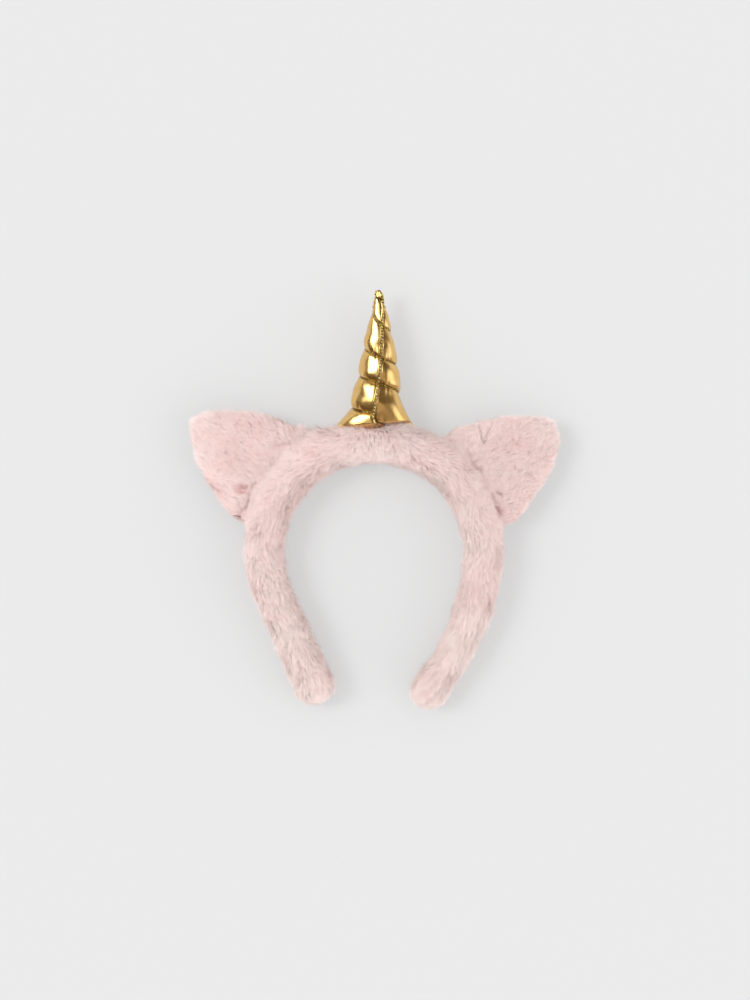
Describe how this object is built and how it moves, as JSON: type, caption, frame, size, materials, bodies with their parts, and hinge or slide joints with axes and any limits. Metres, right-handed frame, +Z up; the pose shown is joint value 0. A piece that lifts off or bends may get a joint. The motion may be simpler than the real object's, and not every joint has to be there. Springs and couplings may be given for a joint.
{
  "type": "unicorn horn headband",
  "caption": "Open horseshoe headband wrapped in pale pink plush, with plush ears and a stuffed gold spiral-sewn horn on top; lies flat.",
  "frame": {"origin": "under the middle of the whole headband, on the surface that it lies on", "axes": "+Y from the open end of the band to the tip of the horn; +Z up, out of the front of the ears and horn; +X to the right ear as the picture shows it"},
  "size_m": [0.2418, 0.2726, 0.0336],
  "materials": {
    "pink_fur": "short soft plush with a matt, slightly clumped pile",
    "gold_cloth": "smooth gold foil cloth with a metallic shine and soft creases"
  },
  "bodies": {
    "root": {"band": "pink_fur", "ear_left": "pink_fur", "ear_right": "pink_fur", "horn": "gold_cloth"}
  },
  "joints": []
}
